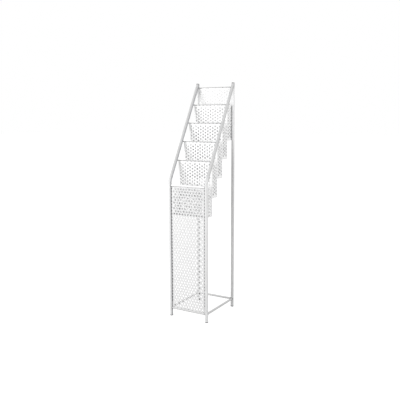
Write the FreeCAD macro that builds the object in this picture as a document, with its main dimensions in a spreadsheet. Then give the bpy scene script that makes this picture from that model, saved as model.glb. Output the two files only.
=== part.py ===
"""Periodical display rack: a welded tube frame with five stepped pockets of perforated sheet.

Millimetres. +X is to the right of someone facing the rack, +Y to its back and +Z up. The origin
is on the floor, midway between the axes of the four legs.
"""
import FreeCAD, Part
import Sketcher
import math
import os

Vector = FreeCAD.Vector
Rotation = FreeCAD.Rotation

# Driving dimensions: alias and millimetres.
DRIVING_SIZES = [
    ("overall_height", 1440.0),
    ("leg_spacing_wide", 254.0),
    ("leg_spacing_deep", 334.0),
    ("leg_diameter", 19.0),
    ("leg_wall", 1.2),
    ("bend_height", 847.0),
    ("bend_radius", 28.0),
    ("slope_meeting_drop", 6.0),
    ("crossbar_diameter", 13.0),
    ("crossbar_wall", 1.2),
    ("bottom_crossbar_height", 52.0),
    ("front_crossbar_drop", 25.0),
    ("rod_diameter", 6.0),
    ("rod_overhang", 4.0),
    ("back_rod_drop", 29.0),
    ("highest_rod_drop", 131.0),
    ("lowest_rod_rise", 120.0),
    ("pocket_wall_height", 220.0),
    ("front_pocket_depth", 182.0),
    ("panel_edge_gap", 2.5),
    ("panel_flange_depth", 12.0),
    ("sheet_thickness", 1.0),
    ("sheet_clearance", 0.3),
    ("joint_gap", 0.2),
    ("hole_diameter", 12.0),
    ("hole_pitch", 19.6),
    ("sheet_border", 3.0),
    ("glide_height", 5.0),
    ("glide_bevel", 1.5),
    ("glide_stem_length", 18.0),
    ("cap_height", 3.0),
    ("cap_bevel", 2.0),
    ("cap_stem_length", 12.0),
    ("stem_clearance", 0.3),
]

STEPPED_POCKETS = 4
SIDES = {"left": -1, "right": 1}

# Turns that set a sheet, drawn lying flat, upright facing the front, upright facing the side, or
# leave it level.
FACING_FRONT = Rotation(Vector(1, 0, 0), 90)
FACING_SIDE = Rotation(Vector(1, 1, 1), 120)
LEVEL = Rotation()

# Sizes that follow from the driving dimensions, as spreadsheet formulas.
DERIVED_SIZES = [
    ("leg_radius", "sizes.leg_diameter / 2"),
    ("leg_bore", "sizes.leg_diameter - 2 * sizes.leg_wall"),
    ("half_wide", "sizes.leg_spacing_wide / 2"),
    ("half_deep", "sizes.leg_spacing_deep / 2"),
    ("cope_diameter", "sizes.leg_diameter + 2 * sizes.joint_gap"),
    ("stem_radius", "leg_bore / 2 - sizes.stem_clearance"),
    ("post_length", "sizes.overall_height - sizes.glide_height - sizes.cap_height"),
    ("slope_meeting_height", "sizes.overall_height - sizes.slope_meeting_drop"),
    ("slope_rise", "slope_meeting_height - sizes.bend_height"),
    ("slope", "slope_rise / sizes.leg_spacing_deep"),
    ("slope_secant", "sqrt(1 + 1 / (slope * slope))"),
    ("rod_set_back", "(leg_radius + sizes.rod_diameter / 2 + sizes.joint_gap) * slope_secant"),
    ("rod_length", "sizes.leg_spacing_wide + 2 * sizes.rod_overhang"),
    ("back_rod_height", "sizes.overall_height - sizes.back_rod_drop"),
    ("highest_rod_height", "slope_meeting_height - sizes.highest_rod_drop"),
    ("lowest_rod_height", "sizes.bend_height + sizes.lowest_rod_rise"),
    ("rod_step", f"(highest_rod_height - lowest_rod_height) / {STEPPED_POCKETS - 1}"),
    ("front_crossbar_height", "sizes.bend_height - sizes.front_crossbar_drop"),
    ("clear_width", "sizes.leg_spacing_wide - sizes.leg_diameter"),
    ("sheet_width", "clear_width - 2 * sizes.sheet_clearance"),
    ("panel_width", "clear_width - 2 * sizes.panel_edge_gap"),
]

os.makedirs("parts", exist_ok=True)
doc = FreeCAD.newDocument("periodical_rack")
nodes = []


def fill_sheet(name, rows, prefix):
    """Write one row per size: its name in column A and its value, with the alias, in column B."""
    sheet = doc.addObject("Spreadsheet::Sheet", name)
    for row, (alias, content) in enumerate(rows, start=1):
        sheet.set(f"A{row}", alias)
        sheet.set(f"B{row}", f"{prefix}{content}")
        sheet.setAlias(f"B{row}", alias)
    return sheet


sizes = fill_sheet("sizes", DRIVING_SIZES, "")
derived = fill_sheet("derived", DERIVED_SIZES, "=")
doc.recompute()


def place(item, x="0", y="0", z="0", rotation=LEVEL):
    """Turn an object and bind the three coordinates of its place to the sizes."""
    item.Placement = FreeCAD.Placement(Vector(0, 0, 0), rotation)
    item.setExpression("Placement.Base.x", x)
    item.setExpression("Placement.Base.y", y)
    item.setExpression("Placement.Base.z", z)


def new_body(label):
    body = doc.addObject("PartDesign::Body", label)
    body.Label = label
    nodes.append(body)
    return body


def new_sketch(body, plane_role, name):
    plane = next(item for item in body.Origin.OriginFeatures if item.Role == plane_role)
    sketch = body.newObject("Sketcher::SketchObject", name)
    sketch.AttachmentSupport = [(plane, "")]
    sketch.MapMode = "FlatFace"
    return sketch


def add_circle(sketch, diameter, x="0", y="0"):
    """Draw a circle whose diameter and centre are bound to the sizes."""
    circle = sketch.addGeometry(Part.Circle(Vector(1, 1, 0), Vector(0, 0, 1), 5))
    bindings = [
        (Sketcher.Constraint("Diameter", circle, 10), diameter),
        (Sketcher.Constraint("DistanceX", -1, 1, circle, 3, 1), x),
        (Sketcher.Constraint("DistanceY", -1, 1, circle, 3, 1), y),
    ]
    for constraint, formula in bindings:
        index = sketch.addConstraint(constraint)
        sketch.setExpression(f"Constraints[{index}]", formula)


def add_section(sketch, outer_diameter, wall):
    """Draw the section of a tube, or of a solid bar where the wall is None."""
    add_circle(sketch, outer_diameter)
    if wall is not None:
        add_circle(sketch, f"{outer_diameter} - 2 * {wall}")


def add_post(label, side):
    """A straight rear post, from its foot glide up to its cap."""
    body = new_body(label)
    section = new_sketch(body, "XY_Plane", "section")
    add_section(section, "sizes.leg_diameter", "sizes.leg_wall")
    post = body.newObject("PartDesign::Pad", "post")
    post.Profile = section
    post.setExpression("Length", "derived.post_length")
    place(body, f"{side} * derived.half_wide", "derived.half_deep", "sizes.glide_height")


def draw_bent_path(path):
    """Draw the centre line of a front tube: up the leg, round the bend and back up the slope."""
    bend = sizes.bend_height - sizes.glide_height
    deep = sizes.leg_spacing_deep
    rise = derived.slope_rise
    turn = math.atan2(deep, rise)
    tangent = sizes.bend_radius * math.tan(turn / 2)
    centre = Vector(sizes.bend_radius, bend - tangent, 0)
    leg_end = Vector(0, bend - tangent, 0)
    slope_start = Vector(tangent * math.sin(turn), bend + tangent * math.cos(turn), 0)
    slope_end = Vector(deep, bend + rise, 0)
    circle = Part.Circle(centre, Vector(0, 0, 1), sizes.bend_radius)
    leg = path.addGeometry(Part.LineSegment(Vector(0, 0, 0), leg_end))
    arc = path.addGeometry(Part.ArcOfCircle(circle, math.pi - turn, math.pi))
    slope = path.addGeometry(Part.LineSegment(slope_start, slope_end))
    corner = path.addGeometry(Part.Point(Vector(0, bend, 0)), True)
    path.addConstraint([
        Sketcher.Constraint("Coincident", leg, 1, -1, 1),
        Sketcher.Constraint("Vertical", leg),
        Sketcher.Constraint("Tangent", leg, 2, arc, 2),
        Sketcher.Constraint("Tangent", arc, 1, slope, 1),
        Sketcher.Constraint("PointOnObject", corner, 1, leg),
        Sketcher.Constraint("PointOnObject", corner, 1, slope),
    ])
    bindings = [
        (Sketcher.Constraint("Radius", arc, sizes.bend_radius), "sizes.bend_radius"),
        (Sketcher.Constraint("DistanceY", -1, 1, corner, 1, bend),
         "sizes.bend_height - sizes.glide_height"),
        (Sketcher.Constraint("DistanceX", -1, 1, slope, 2, deep), "sizes.leg_spacing_deep"),
        (Sketcher.Constraint("DistanceY", -1, 1, slope, 2, bend + rise),
         "derived.slope_meeting_height - sizes.glide_height"),
    ]
    for constraint, formula in bindings:
        index = path.addConstraint(constraint)
        path.setExpression(f"Constraints[{index}]", formula)


def add_front_tube(label, side):
    """A front leg that bends and slopes back to the top of the rear post, coped to fit it."""
    body = new_body(label)
    path = new_sketch(body, "YZ_Plane", "centre_line")
    draw_bent_path(path)
    section = new_sketch(body, "XY_Plane", "section")
    add_section(section, "sizes.leg_diameter", "sizes.leg_wall")
    tube = body.newObject("PartDesign::AdditivePipe", "tube")
    tube.Profile = section
    tube.Spine = (path, ["Edge1", "Edge2", "Edge3"])
    doc.recompute()
    cope_outline = new_sketch(body, "XY_Plane", "cope_outline")
    add_circle(cope_outline, "derived.cope_diameter", "0", "sizes.leg_spacing_deep")
    add_cope(body, cope_outline)
    place(body, f"{side} * derived.half_wide", "-derived.half_deep", "sizes.glide_height")


def add_cope(body, outline):
    """Cut the body with vertical cylinders as wide as the tubes that it meets."""
    cope = body.newObject("PartDesign::Pocket", "cope")
    cope.Profile = outline
    cope.Type = "ThroughAll"
    cope.Midplane = True


def add_crossbar(label, diameter, wall, spacing, x, y, z, rotation=LEVEL):
    """A bar between two upright tubes, with both ends coped to fit them."""
    body = new_body(label)
    section = new_sketch(body, "YZ_Plane", "section")
    add_section(section, diameter, wall)
    bar = body.newObject("PartDesign::Pad", "bar")
    bar.Profile = section
    bar.Midplane = True
    bar.setExpression("Length", spacing)
    doc.recompute()
    cope_outline = new_sketch(body, "XY_Plane", "cope_outline")
    add_circle(cope_outline, "derived.cope_diameter", f"{spacing} / 2")
    add_circle(cope_outline, "derived.cope_diameter", f"-{spacing} / 2")
    add_cope(body, cope_outline)
    place(body, x, y, z, rotation)


def add_pocket_rod(label, height, y):
    """A rod across the front of a pocket, lying against the back of both sloping tubes."""
    rod = doc.addObject("Part::Cylinder", label)
    rod.Label = label
    nodes.append(rod)
    rod.setExpression("Radius", "sizes.rod_diameter / 2")
    rod.setExpression("Height", "derived.rod_length")
    place(rod, "-derived.rod_length / 2", y, height, Rotation(Vector(0, 1, 0), 90))


def row_offsets(length, step):
    """Evenly spaced offsets that are centred on zero and fill the length."""
    count = int(length / step + 1e-6) + 1
    return [(index - (count - 1) / 2) * step for index in range(count)]


def hole_centres(length, breadth):
    """Centres of staggered holes, 60 degrees apart, in rows that run along the length."""
    edge = sizes.sheet_border + sizes.hole_diameter / 2
    full_row = row_offsets(length - 2 * edge, sizes.hole_pitch)
    short_row = [offset + sizes.hole_pitch / 2 for offset in full_row[:-1]]
    row_step = sizes.hole_pitch * math.sqrt(3) / 2
    centres = []
    for number, across in enumerate(row_offsets(breadth - 2 * edge, row_step)):
        row = short_row if number % 2 else full_row
        centres += [(along, across) for along in row]
    return centres


def perforated_face(width, height, upright_rows):
    """A rectangle from the local origin, with a centred field of round holes."""
    if upright_rows:
        centres = [(across, along) for along, across in hole_centres(height, width)]
    else:
        centres = hole_centres(width, height)
    outline = Part.makePolygon([
        Vector(0, 0, 0), Vector(width, 0, 0), Vector(width, height, 0),
        Vector(0, height, 0), Vector(0, 0, 0)])
    holes = []
    for x, y in centres:
        centre = Vector(width / 2 + x, height / 2 + y, 0)
        hole = Part.Wire(Part.makeCircle(sizes.hole_diameter / 2, centre))
        hole.reverse()
        holes.append(hole)
    face = Part.Face(outline)
    if holes:
        face.cutHoles(holes)
    return face


def thicken(name, width, height, upright_rows):
    """A perforated sheet with a corner at the local origin, thickened along the local z axis."""
    blank = doc.addObject("Part::Feature", f"{name}_blank")
    blank.Shape = perforated_face(width, height, upright_rows)
    sheet = doc.addObject("Part::Extrusion", name)
    sheet.Base = blank
    sheet.DirMode = "Custom"
    sheet.Dir = Vector(0, 0, 1)
    sheet.setExpression("LengthFwd", "sizes.sheet_thickness")
    sheet.Solid = True
    return sheet


def add_sheet(label, width, height, corner, rotation, upright_rows):
    """A flat perforated sheet, placed by its corner."""
    sheet = thicken(label, width, height, upright_rows)
    sheet.Label = label
    nodes.append(sheet)
    sheet.Placement = FreeCAD.Placement(corner, rotation)


def add_flanged_panel(label, width, height, flange_height, corner):
    """The front panel, whose side edges are folded back below the pocket behind it."""
    web = thicken(f"{label}_web", width, height, upright_rows=False)
    folded = [web]
    for side_name, x in (("left", "0"), ("right", "derived.panel_width - sizes.sheet_thickness")):
        flange = doc.addObject("Part::Box", f"{label}_{side_name}_flange")
        flange.setExpression("Length", "sizes.sheet_thickness")
        flange.Width = flange_height
        flange.setExpression("Height", "sizes.panel_flange_depth")
        flange.setExpression("Placement.Base.x", x)
        flange.setExpression("Placement.Base.z", "-sizes.panel_flange_depth")
        folded.append(flange)
    panel = doc.addObject("Part::MultiFuse", label)
    panel.Label = label
    nodes.append(panel)
    panel.Shapes = folded
    panel.Placement = FreeCAD.Placement(corner, FACING_FRONT)


def add_plug(label, layers, x, y, z):
    """A plastic plug: round layers in a stack, joined into one."""
    plug = doc.addObject("Part::MultiFuse", label)
    plug.Label = label
    nodes.append(plug)
    plug.Shapes = layers
    place(plug, x, y, z)


def add_layer(name, bottom, height, radius):
    layer = doc.addObject("Part::Cylinder", name)
    layer.setExpression("Radius", radius)
    layer.setExpression("Height", height)
    layer.setExpression("Placement.Base.z", bottom)
    return layer


def add_bevel(name, bottom, height, lower_radius, upper_radius):
    bevel = doc.addObject("Part::Cone", name)
    bevel.setExpression("Radius1", lower_radius)
    bevel.setExpression("Radius2", upper_radius)
    bevel.setExpression("Height", height)
    bevel.setExpression("Placement.Base.z", bottom)
    return bevel


def add_glide(label, x, y):
    """A foot glide: a bevelled disc that the tube stands on, with its stem in the bore."""
    bevel = add_bevel(f"{label}_bevel", "0", "sizes.glide_bevel",
                      "derived.leg_radius - sizes.glide_bevel", "derived.leg_radius")
    disc = add_layer(f"{label}_disc", "sizes.glide_bevel",
                     "sizes.glide_height - sizes.glide_bevel", "derived.leg_radius")
    stem = add_layer(f"{label}_stem", "sizes.glide_height / 2",
                     "sizes.glide_height / 2 + sizes.glide_stem_length", "derived.stem_radius")
    add_plug(label, [bevel, disc, stem], x, y, "0")


def add_cap(label, x, y):
    """A post cap: a bevelled disc on top of the tube, with its stem in the bore."""
    rim_height = "(sizes.cap_height - sizes.cap_bevel)"
    disc = add_layer(f"{label}_disc", "0", rim_height, "derived.leg_radius")
    bevel = add_bevel(f"{label}_bevel", rim_height, "sizes.cap_bevel",
                      "derived.leg_radius", "derived.leg_radius - sizes.cap_bevel")
    stem = add_layer(f"{label}_stem", "-sizes.cap_stem_length",
                     f"sizes.cap_stem_length + {rim_height} / 2", "derived.stem_radius")
    add_plug(label, [disc, bevel, stem], x, y, "sizes.overall_height - sizes.cap_height")


# Tube frame.
for side_name, side in SIDES.items():
    add_front_tube(f"{side_name}_front_tube", side)
    add_post(f"{side_name}_rear_post", side)
    side_x = f"{side} * derived.half_wide"
    add_crossbar(f"bottom_{side_name}_crossbar", "sizes.crossbar_diameter", "sizes.crossbar_wall",
                 "sizes.leg_spacing_deep", side_x, "0", "sizes.bottom_crossbar_height",
                 Rotation(Vector(0, 0, 1), 90))
    add_cap(f"{side_name}_post_cap", side_x, "derived.half_deep")
    add_glide(f"{side_name}_front_glide", side_x, "-derived.half_deep")
    add_glide(f"{side_name}_rear_glide", side_x, "derived.half_deep")

add_crossbar("bottom_front_crossbar", "sizes.crossbar_diameter", "sizes.crossbar_wall",
             "sizes.leg_spacing_wide", "0", "-derived.half_deep", "sizes.bottom_crossbar_height")
add_crossbar("bottom_rear_crossbar", "sizes.crossbar_diameter", "sizes.crossbar_wall",
             "sizes.leg_spacing_wide", "0", "derived.half_deep", "sizes.bottom_crossbar_height")
add_crossbar("front_top_crossbar", "sizes.crossbar_diameter", "sizes.crossbar_wall",
             "sizes.leg_spacing_wide", "0", "-derived.half_deep",
             "derived.front_crossbar_height")
add_crossbar("back_rod", "sizes.rod_diameter", None,
             "sizes.leg_spacing_wide", "0", "derived.half_deep", "derived.back_rod_height")

for step in range(STEPPED_POCKETS):
    rod_height = f"derived.highest_rod_height - {step} * derived.rod_step"
    rod_y = f"({rod_height} - sizes.bend_height) / derived.slope"
    add_pocket_rod(f"pocket_{step + 1}_rod", rod_height,
                   f"{rod_y} - derived.half_deep + derived.rod_set_back")

# Perforated sheets. The upright sheets face the front; number 0 is the back sheet and the last
# one is the front panel. Pocket n lies between sheets n - 1 and n.
thickness = sizes.sheet_thickness
rod_radius = sizes.rod_diameter / 2
crossbar_radius = sizes.crossbar_diameter / 2


def rod_y_at(height):
    """The centre of a pocket rod lies behind the sloping tubes, square to their slope."""
    slope_y = (height - sizes.bend_height) / derived.slope - derived.half_deep
    return slope_y + derived.rod_set_back


rod_heights = [derived.highest_rod_height - step * derived.rod_step
               for step in range(STEPPED_POCKETS)]
sheet_centres = [derived.half_deep]
sheet_centres += [rod_y_at(height) for height in rod_heights]
sheet_centres += [-derived.half_deep]

sheet_tops = [derived.back_rod_height - rod_radius - sizes.joint_gap]
sheet_tops += [height - rod_radius - sizes.joint_gap for height in rod_heights]
sheet_tops += [derived.front_crossbar_height - crossbar_radius - sizes.joint_gap]

floor_heights = [height + rod_radius - sizes.pocket_wall_height for height in rod_heights]
floor_heights += [derived.front_crossbar_height - sizes.front_pocket_depth]

sheet_bottoms = floor_heights + [
    sizes.bottom_crossbar_height + crossbar_radius + sizes.joint_gap]
last = STEPPED_POCKETS + 1
sheet_names = ["back_sheet"] + [f"divider_{number}" for number in range(1, last)]

for number, name in enumerate(sheet_names):
    corner = Vector(-derived.sheet_width / 2, sheet_centres[number] + thickness / 2,
                    sheet_bottoms[number])
    add_sheet(name, derived.sheet_width, sheet_tops[number] - sheet_bottoms[number],
              corner, FACING_FRONT, upright_rows=True)

panel_corner = Vector(-derived.panel_width / 2, sheet_centres[last] + thickness / 2,
                      sheet_bottoms[last])
flange_top = floor_heights[-1] - thickness - sizes.joint_gap
add_flanged_panel("front_panel", derived.panel_width, sheet_tops[last] - sheet_bottoms[last],
                  flange_top - sheet_bottoms[last], panel_corner)

for pocket in range(1, last + 1):
    width = derived.panel_width if pocket == last else derived.sheet_width
    front = sheet_centres[pocket] + thickness / 2
    rear = sheet_centres[pocket - 1] - thickness / 2
    floor_top = floor_heights[pocket - 1]
    add_sheet(f"pocket_{pocket}_floor", width, rear + thickness - front,
              Vector(-width / 2, front, floor_top - thickness), LEVEL, upright_rows=False)
    for side_name, side in SIDES.items():
        inner_x = -width / 2 if side < 0 else width / 2 - thickness
        add_sheet(f"pocket_{pocket}_{side_name}_wall", rear - front,
                  sheet_tops[pocket] - floor_top, Vector(inner_x, front, floor_top),
                  FACING_SIDE, upright_rows=True)

doc.recompute()


def check_document():
    """Stop where an object failed to recompute or a sub-part has no sound shape."""
    for item in doc.Objects:
        if {"Invalid", "Error"} & set(item.State):
            raise RuntimeError(f"{item.Name}: {item.State}")
    for node in nodes:
        if node.Shape.isNull() or not node.Shape.isValid() or not node.Shape.Solids:
            raise RuntimeError(f"{node.Label}: no sound solid")


check_document()
for node in nodes:
    node.Shape.exportStep(f"parts/{node.Label}.step")
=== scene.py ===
"""Periodical display rack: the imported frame, dressed with its paint, welds and studio."""
import math

import bmesh
import bpy
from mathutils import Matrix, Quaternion, Vector, noise


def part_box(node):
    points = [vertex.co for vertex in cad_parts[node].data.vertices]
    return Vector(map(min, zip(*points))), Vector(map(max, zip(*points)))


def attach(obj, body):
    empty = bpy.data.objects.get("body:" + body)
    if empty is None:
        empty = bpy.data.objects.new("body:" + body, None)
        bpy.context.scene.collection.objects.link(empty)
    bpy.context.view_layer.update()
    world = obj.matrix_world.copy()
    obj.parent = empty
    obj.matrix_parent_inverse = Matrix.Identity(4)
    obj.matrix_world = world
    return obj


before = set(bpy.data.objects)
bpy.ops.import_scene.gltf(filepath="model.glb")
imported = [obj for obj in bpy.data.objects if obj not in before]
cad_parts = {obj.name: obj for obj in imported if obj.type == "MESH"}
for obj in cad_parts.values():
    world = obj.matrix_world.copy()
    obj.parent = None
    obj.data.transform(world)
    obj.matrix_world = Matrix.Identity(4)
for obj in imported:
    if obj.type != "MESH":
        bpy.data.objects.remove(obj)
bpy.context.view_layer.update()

MM = 0.001
UP = Vector((0, 0, 1))
ACROSS = Vector((1, 0, 0))


# ---------------------------------------------------------------- node helpers

# The sockets of a Mix node that is set to colours.
MIX_FACTOR, MIX_FIRST, MIX_SECOND = 0, 6, 7
MIX_RESULT = 2


def node_maker(tree):
    """A helper that adds a node to a tree, with its settings, values and links."""
    def node(kind, inputs=None, **settings):
        item = tree.nodes.new(kind)
        for key, value in settings.items():
            setattr(item, key, value)
        for key, value in (inputs or {}).items():
            socket = item.inputs[key]
            if isinstance(value, bpy.types.NodeSocket):
                tree.links.new(value, socket)
            else:
                socket.default_value = value
        return item

    return node


def new_material(name):
    """A material with a Principled shader, and the helper that adds nodes to it."""
    material = bpy.data.materials.new(name)
    material.use_nodes = True
    tree = material.node_tree
    return material, tree, tree.nodes["Principled BSDF"], node_maker(tree)


def surface(node):
    """Where a point of the surface is and which way it faces, in the rack's own frame."""
    coordinates = node("ShaderNodeTexCoord")
    return coordinates.outputs["Object"], coordinates.outputs["Normal"]


def axis_value(node, vector, axis):
    """The X, Y or Z of a vector."""
    return node("ShaderNodeSeparateXYZ", {"Vector": vector}).outputs[axis]


def vector_math(node, operation, *values):
    """The vector that an operation gives for its one or two values."""
    return node("ShaderNodeVectorMath", dict(enumerate(values)), operation=operation).outputs[0]


def map_range(node, value, from_range, to_range, interpolation="LINEAR"):
    """A value carried from one range to another, and held at the ends of the second."""
    ranges = {"From Min": from_range[0], "From Max": from_range[1],
              "To Min": to_range[0], "To Max": to_range[1]}
    return node("ShaderNodeMapRange", {"Value": value, **ranges},
                interpolation_type=interpolation).outputs["Result"]


def noise_texture(node, place, scale, detail, roughness=0.5):
    """Soft random blotches, from 0 to 1. A larger scale makes them smaller."""
    return node("ShaderNodeTexNoise", {"Vector": place, "Scale": scale, "Detail": detail,
                                       "Roughness": roughness}).outputs["Fac"]


def blend_colours(node, factor, first, second):
    """The first colour, which turns into the second as the factor rises from 0 to 1."""
    first, second = (colour if isinstance(colour, bpy.types.NodeSocket) else (*colour, 1.0)
                     for colour in (first, second))
    return node("ShaderNodeMix", {MIX_FACTOR: factor, MIX_FIRST: first, MIX_SECOND: second},
                data_type="RGBA").outputs[MIX_RESULT]


# ---------------------------------------------------------------- punched sheets

# The punched field of a sheet: staggered round holes, centred, in rows that run level in the
# floors and the front panel, and upright in the other sheets.
HOLE_DIAMETER = 12.0 * MM
HOLE_PITCH = 19.6 * MM
SHEET_BORDER = 3.0 * MM
ROW_STEP = HOLE_PITCH * math.sqrt(3) / 2

# Added to a count of holes before it is cut to a whole number, so that rounding loses none.
COUNT_MARGIN = 1e-4

# The ring round each hole that the punch draws in, and its bump.
LIP_WIDTH = 1.3 * MM
LIP_DEPTH = 0.5 * MM
LIP_BUMP_STRENGTH = 0.7

# The share of a normal that points through the sheet, from a cut edge up to a face.
EDGE_TO_FACE = (0.2, 0.6)

# How dark the painted shade is on the lips of a sheet's holes, from 0 to 1, set sheet by sheet
# for how each is lit. None is painted on the walls of the highest pocket and on the divider in
# front of it.
USUAL_LIP_SHADE = 0.5
LIP_SHADES = {"front_panel": 0.9, "back_sheet": 0.9, "divider_1": 0.0, "divider_2": 0.2,
              "pocket_1_left_wall": 0.0, "pocket_1_right_wall": 0.0}


def hole_field(name):
    """Where a sheet's holes are: the first, the two grids that they form, and their cell."""
    low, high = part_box(name)
    extent = high - low
    thin = min(range(3), key=lambda axis: extent[axis])
    upright = thin != 2 and name != "front_panel"
    rows = 2 if upright else 0
    steps = next(axis for axis in range(3) if axis not in (thin, rows))
    edge = SHEET_BORDER + HOLE_DIAMETER / 2
    in_row = int((extent[rows] - 2 * edge) / HOLE_PITCH + COUNT_MARGIN) + 1
    row_count = int((extent[steps] - 2 * edge) / ROW_STEP + COUNT_MARGIN) + 1
    middle = (low + high) / 2

    def vector(along_rows, along_steps, across=0.0):
        parts = [across] * 3
        parts[rows] = along_rows
        parts[steps] = along_steps
        return tuple(parts)

    first = vector(middle[rows] - (in_row - 1) / 2 * HOLE_PITCH,
                   middle[steps] - (row_count - 1) / 2 * ROW_STEP)
    even_rows = (row_count + 1) // 2
    odd_rows = row_count // 2
    grids = [((0, 0, 0), vector(in_row - 1, even_rows - 1)),
             (vector(HOLE_PITCH / 2, ROW_STEP), vector(in_row - 2, odd_rows - 1))]
    if in_row < 2 or odd_rows < 1:
        grids[1] = grids[0]
    return {"first": first, "plane": vector(1, 1), "cell": vector(HOLE_PITCH, 2 * ROW_STEP, 1),
            "grids": grids, "thin": "XYZ"[thin],
            "lip_shade": LIP_SHADES.get(name, USUAL_LIP_SHADE)}


def nearest_hole(node, place, field):
    """The distance on a sheet's surface to the centre of the nearest of its punched holes."""
    flat = vector_math(node, "SUBTRACT", place, field["first"])
    flat = vector_math(node, "MULTIPLY", flat, field["plane"])
    reaches = []
    for shift, last in field["grids"]:
        from_first = vector_math(node, "SUBTRACT", flat, shift)
        cells = vector_math(node, "DIVIDE", from_first, field["cell"])
        cells = vector_math(node, "ADD", cells, (0.5, 0.5, 0.5))
        cells = vector_math(node, "FLOOR", cells)
        cells = vector_math(node, "MAXIMUM", cells, (0, 0, 0))
        cells = vector_math(node, "MINIMUM", cells, last)
        hole = vector_math(node, "MULTIPLY", cells, field["cell"])
        reach = node("ShaderNodeVectorMath", {0: from_first, 1: hole}, operation="DISTANCE")
        reaches.append(reach.outputs["Value"])
    return node("ShaderNodeMath", {0: reaches[0], 1: reaches[1]}, operation="MINIMUM").outputs[0]


# ---------------------------------------------------------------- materials

def grey(level):
    return (level, level, level)


MOTTLE = (0.0, 0.02, 0.05)
SHEET_WHITE = grey(0.94)
# Darker than the other sheets' white: painted shade on the front panel, lit less low down.
SHADED_PANEL_WHITE = grey(0.76)
# The grey of painted shade in crevices and on the inner sides of the uprights.
PAINTED_SHADE_GREY = (0.40, 0.40, 0.41)
# The grey of painted shade on the lips round the holes.
LIP_SHADE_GREY = (0.25, 0.25, 0.26)
# Near black: painted shade on a sheet's cut edges, hole walls and folded flanges.
EDGE_SHADE_GREY = grey(0.12)

# Most of a noise texture lies between these two values.
NOISE_RANGE = (0.3, 0.7)

# Painted shade in crevices, from an ambient occlusion test: how deep they are, how open from the
# darkest to the first that is left unshaded, and how dark the shade gets.
CREVICE_DEPTH = 6.0 * MM
CREVICE_OPENNESS = (0.25, 0.85)
CREVICE_SHADE = 0.55

PAINT_ROUGHNESS = (0.36, 0.46)
MOTTLE_SHADE = 0.03
PEEL_DEPTH = 0.2 * MM
PEEL_STRENGTH = 0.35
PLASTIC_GRAIN_DEPTH = 0.1 * MM

# The most that dust or scuffs cover of the plastic, at floor level.
DUST_SHARE = 0.5

# A tube's X times its normal's X, in metres, from its inner side round to where its painted
# shade ends.
INNER_SIDE = (-0.102, -0.050)


def bump(node, height, strength, distance, **under):
    """The surface's normal, raised and lowered with a height from 0 to 1.

    It goes over the surface's own normal, or over another bump given as Normal."""
    return node("ShaderNodeBump", {"Height": height, "Strength": strength, "Distance": distance,
                                   **under}).outputs["Normal"]


def punched_paint(node, base, normal, field):
    """The colour and normal of a sheet with its holes: lips and cut edges with painted shade."""
    place, facing = surface(node)
    reach = nearest_hole(node, place, field)
    lip = (HOLE_DIAMETER / 2, HOLE_DIAMETER / 2 + LIP_WIDTH)
    # Painted shade on the lips round the holes; the bump after it is relief.
    lip_shade_share = map_range(node, reach, lip, (field["lip_shade"], 0.0), "SMOOTHSTEP")
    base = blend_colours(node, lip_shade_share, base, LIP_SHADE_GREY)
    rise = map_range(node, reach, lip, (0.0, 1.0), "SMOOTHSTEP")
    normal = bump(node, rise, LIP_BUMP_STRENGTH, LIP_DEPTH, Normal=normal)
    # Painted shade on faces that point across the sheet: cut edges, hole walls and folded flanges.
    squareness = node("ShaderNodeMath", {0: axis_value(node, facing, field["thin"])},
                      operation="ABSOLUTE").outputs[0]
    rim = map_range(node, squareness, EDGE_TO_FACE, (1.0, 0.0))
    return blend_colours(node, rim, base, EDGE_SHADE_GREY), normal


def paint_material(name, colour, painted_shade_colour=PAINTED_SHADE_GREY, peel=1.0, field=None, upper=None,
                   inner_shade=0.0):
    """White powder coat: orange peel, a faint mottle, and painted shade in crevices.

    A sheet also has its field of punched holes. An upright tube changes over a stretch of its
    height to the colour of its upper part, painted light and shade, and it has painted shade on its
    inner side, which faces the other tube of its pair."""
    material, tree, shader, node = new_material(name)
    place, facing = surface(node)
    base = colour
    # The upper colour is painted light and shade over the upright's height.
    if upper is not None:
        painted_upper_tone, change = upper
        height = axis_value(node, place, "Z")
        rise = map_range(node, height, change, (0.0, 1.0), "SMOOTHSTEP")
        base = blend_colours(node, rise, colour, painted_upper_tone)
    mottle = noise_texture(node, place, scale=22.0, detail=4.0, roughness=0.6)
    mottling = map_range(node, mottle, NOISE_RANGE, (0.0, MOTTLE_SHADE))
    base = blend_colours(node, mottling, base, MOTTLE)
    # Painted shade in crevices, from an ambient occlusion test.
    crevice = node("ShaderNodeAmbientOcclusion", {"Distance": CREVICE_DEPTH}, samples=4)
    painted_crevice_shade = map_range(node, crevice.outputs["AO"], CREVICE_OPENNESS, (CREVICE_SHADE, 0.0))
    base = blend_colours(node, painted_crevice_shade, base, painted_shade_colour)
    orange_peel = noise_texture(node, place, scale=620.0, detail=2.0, roughness=0.45)
    normal = bump(node, orange_peel, PEEL_STRENGTH * peel, PEEL_DEPTH)
    if field is not None:
        base, normal = punched_paint(node, base, normal, field)
    # Painted shade on an upright's inner side, facing the other tube of its pair.
    if inner_shade:
        outwards = axis_value(node, vector_math(node, "MULTIPLY", place, facing), "X")
        inner = map_range(node, outwards, INNER_SIDE, (inner_shade, 0.0), "SMOOTHSTEP")
        base = blend_colours(node, inner, base, painted_shade_colour)
    sheen = noise_texture(node, place, scale=60.0, detail=3.0)
    roughness = map_range(node, sheen, NOISE_RANGE, PAINT_ROUGHNESS)
    tree.links.new(base, shader.inputs["Base Color"])
    tree.links.new(roughness, shader.inputs["Roughness"])
    tree.links.new(normal, shader.inputs["Normal"])
    return material


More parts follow.
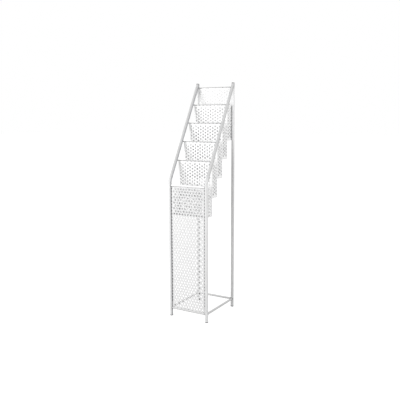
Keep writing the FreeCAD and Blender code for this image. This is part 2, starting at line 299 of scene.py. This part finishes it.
def plastic_material(name, colour, dust_colour, dust_top, grain, roughness_range):
    """Moulded plastic: a fine spark-eroded grain, with dust or scuffs low down."""
    material, tree, shader, node = new_material(name)
    place = surface(node)[0]
    cloud = noise_texture(node, place, scale=160.0, detail=5.0, roughness=0.65)
    low = map_range(node, axis_value(node, place, "Z"), (0.0, dust_top), (DUST_SHARE, 0.0))
    patch = node("ShaderNodeMath", {0: low, 1: cloud}, operation="MULTIPLY").outputs[0]
    lighter = tuple(min(1.0, c * 1.15) for c in colour)
    base = blend_colours(node, cloud, colour, lighter)
    base = blend_colours(node, patch, base, dust_colour)
    roughness = map_range(node, cloud, NOISE_RANGE, roughness_range)
    speckle = noise_texture(node, place, scale=2600.0, detail=2.0)
    normal = bump(node, speckle, grain, PLASTIC_GRAIN_DEPTH)
    tree.links.new(base, shader.inputs["Base Color"])
    tree.links.new(roughness, shader.inputs["Roughness"])
    tree.links.new(normal, shader.inputs["Normal"])
    return material


# Each upright's upper colour comes with the heights, in metres, between which it changes.
# All these greys are one white coat, painted lighter and darker for how the light falls: painted
# shade on the sloping tubes above the legs, on the posts low down, on the bars and on the rods,
# and the posts' tops and the top crossbar painted lighter.
tube_shaded_paint = paint_material("tube_shaded_paint", grey(0.74), upper=(grey(0.52), (0.82, 0.90)),
                            inner_shade=0.9)
post_shaded_paint = paint_material("post_shaded_paint", grey(0.60), upper=(grey(0.83), (0.92, 1.15)),
                            inner_shade=0.4)
bar_paint = paint_material("bar_paint", grey(0.58))
top_bar_paint = paint_material("top_bar_paint", grey(0.82))
rod_paint = paint_material("rod_paint", grey(0.52))
# The welds are real beads; their near-black grey is painted shade, standing for the shade in the
# joints, in the gaps beside the front panel and under the rods.
weld_shade_paint = paint_material("weld_shade_paint", grey(0.14), grey(0.06), peel=1.6)
glide_plastic = plastic_material("glide_plastic", (0.075, 0.075, 0.08), (0.30, 0.29, 0.28),
                                 dust_top=4.0 * MM, grain=0.35, roughness_range=(0.50, 0.68))
cap_plastic = plastic_material("cap_plastic", (0.78, 0.78, 0.77), (0.78, 0.78, 0.77),
                               dust_top=1.0 * MM, grain=0.25, roughness_range=(0.38, 0.52))


def paint_for(name):
    """The material of a CAD node, told by its name."""
    if name.endswith("_glide"):
        return glide_plastic
    if name.endswith("_cap"):
        return cap_plastic
    if name.endswith(("_sheet", "_panel", "_floor", "_wall")) or name.startswith("divider"):
        white = SHADED_PANEL_WHITE if name == "front_panel" else SHEET_WHITE
        return paint_material(f"{name}_paint", white, field=hole_field(name))
    if name.endswith("_rod"):
        return rod_paint
    if name == "front_top_crossbar":
        return top_bar_paint
    if name.startswith("bottom_"):
        return bar_paint
    if name.endswith("_post"):
        return post_shaded_paint
    return tube_shaded_paint


for name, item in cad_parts.items():
    material = paint_for(name)
    for material_slot in item.material_slots:
        material_slot.material = material


# ---------------------------------------------------------------- welds

BEAD_SIDES = 10
BEAD_STEP = 0.3 * MM
BEAD_LEAST_STEPS = 48
LUMPS_TO_THE_METRE = 300.0

# A bead's radius is made of these shares: its steady part, its ripples and its lumps.
STEADY_SHARE, RIPPLE_SHARE, LUMP_SHARE = 0.90, 0.13, 0.12

# How deep a bead's underside lies in the metal, as a share of its radius.
BEAD_SINK = 0.75

# An open bead's radius follows half a sine wave from end to end. The wave is held at a least value
# and raised to a power below 1, so that the ends are blunt.
WAVE_LEAST = 0.16
WAVE_POWER = 0.45

WELD_RIPPLE = 1.3 * MM
TACK_RIPPLE = 1.7 * MM
BAR_BEAD = 1.6 * MM
ROD_BEAD = 1.0 * MM
CROSSING_BEAD = 1.4 * MM

# The gap that the CAD leaves at each joint, which a weld fills.
JOINT_GAP = 0.2 * MM
POCKET_RODS = range(1, 5)


def centre_of(name):
    """The middle of a CAD node's box."""
    low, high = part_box(name)
    return (low + high) / 2


def half_size(name):
    """Half the size of a CAD node's box."""
    low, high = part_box(name)
    return (high - low) / 2


left_post = centre_of("left_rear_post")
tube_radius = half_size("left_rear_post").x
front_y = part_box("left_front_tube")[0].y + tube_radius
rear_y = left_post.y
leg_x = abs(left_post.x)
bar_radius = half_size("bottom_front_crossbar").z
rod_radius = half_size("pocket_1_rod").z
base_height = centre_of("bottom_front_crossbar").z
corners = {"left_front": Vector((-leg_x, front_y, 0)), "right_front": Vector((leg_x, front_y, 0)),
           "left_rear": Vector((-leg_x, rear_y, 0)), "right_rear": Vector((leg_x, rear_y, 0))}

# The sloping tubes run parallel to the line of the pocket rods, in front of it. The direction that
# is square to them points back and down, from the tubes to the rods.
highest_rod = centre_of("pocket_1_rod")
lowest_rod = centre_of("pocket_4_rod")
slope = (highest_rod - lowest_rod).normalized()
square = slope.cross(ACROSS).normalized()
tube_to_rod = tube_radius + rod_radius + JOINT_GAP
slope_point = highest_rod - square * tube_to_rod


def add_piece(name, mesh_parts, material):
    """One object from several meshes, smooth shaded, that rides with the rack."""
    whole = bmesh.new()
    for part in mesh_parts:
        mesh = bpy.data.meshes.new("part")
        part.to_mesh(mesh)
        part.free()
        whole.from_mesh(mesh)
        bpy.data.meshes.remove(mesh)
    bmesh.ops.recalc_face_normals(whole, faces=whole.faces)
    for face in whole.faces:
        face.smooth = True
    mesh = bpy.data.meshes.new(name)
    whole.to_mesh(mesh)
    whole.free()
    piece = bpy.data.objects.new(name, mesh)
    bpy.context.scene.collection.objects.link(piece)
    piece.data.materials.append(material)
    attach(piece, "root")


def bead(points, outward, radius, closed, ripple=WELD_RIPPLE, thinning=None):
    """A weld bead along a path: a lumpy round run whose ripples follow one another.

    An open bead tapers to rounded ends. A bead that thins along its way, by the share that
    thinning gives at each point, keeps its inner side at one depth in the metal."""
    mesh = bmesh.new()
    count = len(points)
    travelled = 0.0
    rings = []
    for index, point in enumerate(points):
        after = points[(index + 1) % count] if closed else points[min(index + 1, count - 1)]
        before = points[index - 1] if closed else points[max(index - 1, 0)]
        tangent = (after - before).normalized()
        out = (outward[index] - tangent * outward[index].dot(tangent)).normalized()
        side = tangent.cross(out)
        if index:
            travelled += (point - points[index - 1]).length
        wave = 0.5 + 0.5 * math.sin(2 * math.pi * travelled / ripple)
        lump = noise.noise(point * LUMPS_TO_THE_METRE)
        size = radius * (STEADY_SHARE + RIPPLE_SHARE * wave + LUMP_SHARE * lump)
        if not closed:
            along = index / (count - 1)
            size *= max(WAVE_LEAST, math.sin(math.pi * along)) ** WAVE_POWER
        if thinning:
            size *= thinning[index]
        lift = size - BEAD_SINK * radius if thinning else (1 - BEAD_SINK) * radius
        centre = point + out * lift
        rings.append([mesh.verts.new(centre + (out * math.cos(turn) + side * math.sin(turn)) * size)
                      for turn in (2 * math.pi * k / BEAD_SIDES for k in range(BEAD_SIDES))])
    pairs = list(zip(rings, rings[1:]))
    if closed:
        pairs.append((rings[-1], rings[0]))
    for first, second in pairs:
        for k in range(BEAD_SIDES):
            following = (k + 1) % BEAD_SIDES
            mesh.faces.new((first[k], first[following], second[following], second[k]))
    if not closed:
        mesh.faces.new(rings[0][::-1])
        mesh.faces.new(rings[-1])
    return mesh


def saddle_weld(tube_centre, direction, bar_radius, height, radius):
    """The closed bead where a level bar meets the wall of an upright tube."""
    across = direction.cross(UP)
    steps = max(BEAD_LEAST_STEPS, int(2 * math.pi * bar_radius / BEAD_STEP))
    points = []
    outward = []
    for step in range(steps):
        turn = 2 * math.pi * step / steps
        side = bar_radius * math.cos(turn)
        reach = math.sqrt(tube_radius ** 2 - side ** 2)
        rim = direction * reach + across * side
        points.append(Vector((tube_centre.x, tube_centre.y, height)) + rim
                      + UP * bar_radius * math.sin(turn))
        outward.append(across * math.cos(turn) + UP * math.sin(turn) + rim.normalized())
    return bead(points, outward, radius, closed=True)


# Each level bar: the legs that it joins, its radius and height, and the radius of its beads.
level_bars = [
    ("bottom_front", "left_front", "right_front", bar_radius, base_height, BAR_BEAD),
    ("bottom_rear", "left_rear", "right_rear", bar_radius, base_height, BAR_BEAD),
    ("bottom_left", "left_front", "left_rear", bar_radius, base_height, BAR_BEAD),
    ("bottom_right", "right_front", "right_rear", bar_radius, base_height, BAR_BEAD),
    ("front_top", "left_front", "right_front", bar_radius,
     centre_of("front_top_crossbar").z, BAR_BEAD),
    ("back_rod", "left_rear", "right_rear", rod_radius, centre_of("back_rod").z, ROD_BEAD),
]
for label, first, second, radius, height, bead_radius in level_bars:
    direction = (corners[second] - corners[first]).normalized()
    add_piece(f"{label}_welds", [
        saddle_weld(corners[first], direction, radius, height, bead_radius),
        saddle_weld(corners[second], -direction, radius, height, bead_radius),
    ], weld_shade_paint)


def slope_weld(side):
    """The bead round the coped end of a sloping tube, on the front of its post.

    It thins at the tube's left and right, so that it stays within the width of the rack."""
    steps = 200
    side_thinning = 0.7
    thinning_power = 6
    points = []
    outward = []
    thinning = []
    for step in range(steps):
        turn = 2 * math.pi * step / steps
        ring = (ACROSS * math.cos(turn) + square * math.sin(turn)) * tube_radius
        post_y = -math.sqrt(max(0.0, tube_radius ** 2 - ring.x ** 2))
        along = (rear_y + post_y - slope_point.y - ring.y) / slope.y
        point = slope_point + slope * along + ring
        points.append(Vector((side * leg_x + ring.x, point.y, point.z)))
        outward.append(ring.normalized() + Vector((ring.x, post_y, 0)).normalized())
        thinning.append(1.0 - side_thinning * abs(math.cos(turn)) ** thinning_power)
    return bead(points, outward, BAR_BEAD, closed=True, thinning=thinning)


add_piece("slope_welds", [slope_weld(-1), slope_weld(1)], weld_shade_paint)


def crossing_weld(rod_centre, side, above):
    """A short bead in the groove above or below a rod, where it lies on a sloping tube."""
    half_length = 6.2 * MM
    from_tube = 1.3 * MM
    from_rod_axis = 2.4 * MM
    lean_back = 0.6
    steps = 36
    points = []
    outward = []
    for step in range(steps + 1):
        offset = (step / steps * 2 - 1) * half_length
        tube_surface = math.sqrt(tube_radius ** 2 - offset ** 2)
        back = tube_surface - tube_to_rod + from_tube
        points.append(Vector((side * leg_x + offset, rod_centre.y, rod_centre.z))
                      + square * back + slope * above * from_rod_axis)
        outward.append(square * lean_back + slope * above)
    return bead(points, outward, CROSSING_BEAD, closed=False)


for number in POCKET_RODS:
    rod_centre = centre_of(f"pocket_{number}_rod")
    add_piece(f"pocket_{number}_rod_welds",
              [crossing_weld(rod_centre, side, above) for side in (-1, 1) for above in (-1, 1)],
              weld_shade_paint)


# ---------------------------------------------------------------- tacks and stitches

TACK_LENGTH = 7.5 * MM
TACK_RADIUS = 1.3 * MM
BACK_TACK_RADIUS = 1.1 * MM

# From the middle of a sheet's thickness out to the line of its tacks, and from its side edge in.
TACK_OFFSET = 0.7 * MM
TACK_INSET = 12.0 * MM

# How far a tack leans away from its bar, as a share of how far it stands out from the sheet.
TACK_LEAN = 0.5

STITCH_STEP = 19.5 * MM
STITCH_LENGTH = 9.0 * MM
STITCH_RADIUS = 2.4 * MM

# From the front panel's top edge down to the first stitch, and what is left free of stitches.
FIRST_STITCH_DROP = 12.0 * MM
STITCH_FREE_LENGTH = 20.0 * MM
STITCH_FORWARD = 0.3 * MM

tack_row_half = half_size("back_sheet").x - TACK_INSET
panel_low, panel_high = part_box("front_panel")


def tack(centre, outward, length, radius, along=ACROSS):
    """A short weld that holds the edge of a sheet to the bar or leg along it."""
    steps = 20
    points = [centre + along * ((step / steps - 0.5) * length) for step in range(steps + 1)]
    return bead(points, [outward] * len(points), radius, closed=False, ripple=TACK_RIPPLE)


def tack_row(name, bar_y, edge_z, count, below, radius):
    """Tacks at even steps along a sheet's edge, on both faces. Below is 1 under a bar, else -1."""
    tacks = []
    for index in range(count):
        x = (index / (count - 1) * 2 - 1) * tack_row_half
        for face in (-1, 1):
            centre = Vector((x, bar_y + face * TACK_OFFSET, edge_z))
            tacks.append(tack(centre, Vector((0, face, -TACK_LEAN * below)), TACK_LENGTH, radius))
    add_piece(name, tacks, weld_shade_paint)


tack_row("back_sheet_tacks", rear_y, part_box("back_sheet")[1].z, 5, 1, BACK_TACK_RADIUS)
for number in POCKET_RODS:
    rod_centre = centre_of(f"pocket_{number}_rod")
    tack_row(f"divider_{number}_tacks", rod_centre.y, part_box(f"divider_{number}")[1].z,
             9, 1, TACK_RADIUS)
tack_row("front_panel_top_tacks", front_y, panel_high.z, 5, 1, TACK_RADIUS)
tack_row("front_panel_bottom_tacks", front_y, panel_low.z, 9, -1, TACK_RADIUS)

# The panel's folded side edges are stitched to the front legs, from top to bottom. The
# stitches' near-black paint is painted shade for the gap between the panel and each leg.
stitches = int((panel_high.z - panel_low.z - STITCH_FREE_LENGTH) / STITCH_STEP)
for label, side in (("left", -1), ("right", 1)):
    stitch_x = side * (panel_high.x + JOINT_GAP)
    stitch_y = panel_low.y - STITCH_FORWARD
    places = [Vector((stitch_x, stitch_y, panel_high.z - FIRST_STITCH_DROP - STITCH_STEP * k))
              for k in range(stitches)]
    add_piece(f"front_panel_{label}_stitches",
              [tack(place, Vector((0, -1, 0)), STITCH_LENGTH, STITCH_RADIUS, UP)
               for place in places],
              weld_shade_paint)


# ---------------------------------------------------------------- studio

AMBIENT_STRENGTH = 0.72
BACKDROP_STRENGTH = 1.0
FLOOR_HALF_SIZE = 30.0
FLOOR_GREY = 0.35
FLOOR_LIFT = 0.76


def looked_at(node):
    """1 for what the camera sees, straight, in a reflection or through glass, and 0 elsewhere."""
    path = node("ShaderNodeLightPath")
    seen = node("ShaderNodeMath", {0: path.outputs["Is Camera Ray"],
                                   1: path.outputs["Is Glossy Ray"]}, operation="MAXIMUM")
    return node("ShaderNodeMath", {0: seen.outputs[0], 1: path.outputs["Is Transmission Ray"]},
                operation="MAXIMUM").outputs[0]


world = bpy.data.worlds.new("studio")
world.use_nodes = True
bpy.context.scene.world = world
world_tree = world.node_tree
world_node = node_maker(world_tree)
ambient = world_tree.nodes["Background"]
ambient.inputs["Color"].default_value = (1, 1, 1, 1)
ambient.inputs["Strength"].default_value = AMBIENT_STRENGTH
backdrop = world_node("ShaderNodeBackground", {"Color": (1, 1, 1, 1),
                                               "Strength": BACKDROP_STRENGTH})
world_mix = world_node("ShaderNodeMixShader", {0: looked_at(world_node), 1: ambient.outputs[0],
                                               2: backdrop.outputs[0]})
world_tree.links.new(world_mix.outputs[0], world_tree.nodes["World Output"].inputs["Surface"])

floor_mesh = bmesh.new()
bmesh.ops.create_grid(floor_mesh, x_segments=4, y_segments=4, size=FLOOR_HALF_SIZE)
floor_data = bpy.data.meshes.new("studio_floor")
floor_mesh.to_mesh(floor_data)
floor_mesh.free()
floor = bpy.data.objects.new("studio_floor", floor_data)
bpy.context.scene.collection.objects.link(floor)

# The floor is lifted to white where it is looked at, and keeps the rack's shadow.
floor_material, floor_tree, floor_shader, floor_node = new_material("studio_floor")
floor_shader.inputs["Base Color"].default_value = (*grey(FLOOR_GREY), 1)
floor_shader.inputs["Roughness"].default_value = 0.9
lift = floor_node("ShaderNodeMath", {0: looked_at(floor_node), 1: FLOOR_LIFT},
                  operation="MULTIPLY")
floor_glow = floor_node("ShaderNodeEmission", {"Color": (1, 1, 1, 1),
                                               "Strength": lift.outputs[0]})
floor_sum = floor_node("ShaderNodeAddShader", {0: floor_shader.outputs[0],
                                               1: floor_glow.outputs[0]})
floor_tree.links.new(floor_sum.outputs[0],
                     floor_tree.nodes["Material Output"].inputs["Surface"])
floor.data.materials.append(floor_material)


def add_lamp(name, place, aim, power, size):
    """A square area lamp, in watts and metres, turned towards the point that it aims at."""
    light = bpy.data.lights.new(name, "AREA")
    light.energy = power
    light.size = size
    lamp = bpy.data.objects.new(name, light)
    bpy.context.scene.collection.objects.link(lamp)
    lamp.location = place
    lamp.rotation_mode = "QUATERNION"
    lamp.rotation_quaternion = (Vector(aim) - Vector(place)).to_track_quat("-Z", "Y")


add_lamp("key_lamp", place=(-1.8, -2.7, 1.6), aim=(0, 0, 0.9), power=78, size=2.2)
add_lamp("fill_lamp", place=(2.6, -0.8, 2.1), aim=(0, 0, 1.1), power=36, size=1.2)


# ---------------------------------------------------------------- camera

PICTURE_PIXELS = 400
FOCAL_PIXELS = 544.8
SENSOR_WIDTH = 36.0
azimuth = math.radians(30.80)
pitch = math.radians(8.79)
roll = math.radians(-0.214)
target = Vector((-0.0157, 0.0, 0.7168))
distance = 3.3983

camera_data = bpy.data.cameras.new("camera")
camera_data.sensor_width = SENSOR_WIDTH
camera_data.lens = FOCAL_PIXELS / PICTURE_PIXELS * SENSOR_WIDTH
camera = bpy.data.objects.new("camera", camera_data)
bpy.context.scene.collection.objects.link(camera)
towards_camera = Vector((math.sin(azimuth) * math.cos(pitch),
                         -math.cos(azimuth) * math.cos(pitch), math.sin(pitch)))
camera.location = target + towards_camera * distance
camera.rotation_mode = "QUATERNION"
camera.rotation_quaternion = ((-towards_camera).to_track_quat("-Z", "Y")
                              @ Quaternion((0, 0, 1), roll))
bpy.context.scene.camera = camera
bpy.context.scene.view_settings.view_transform = "Standard"
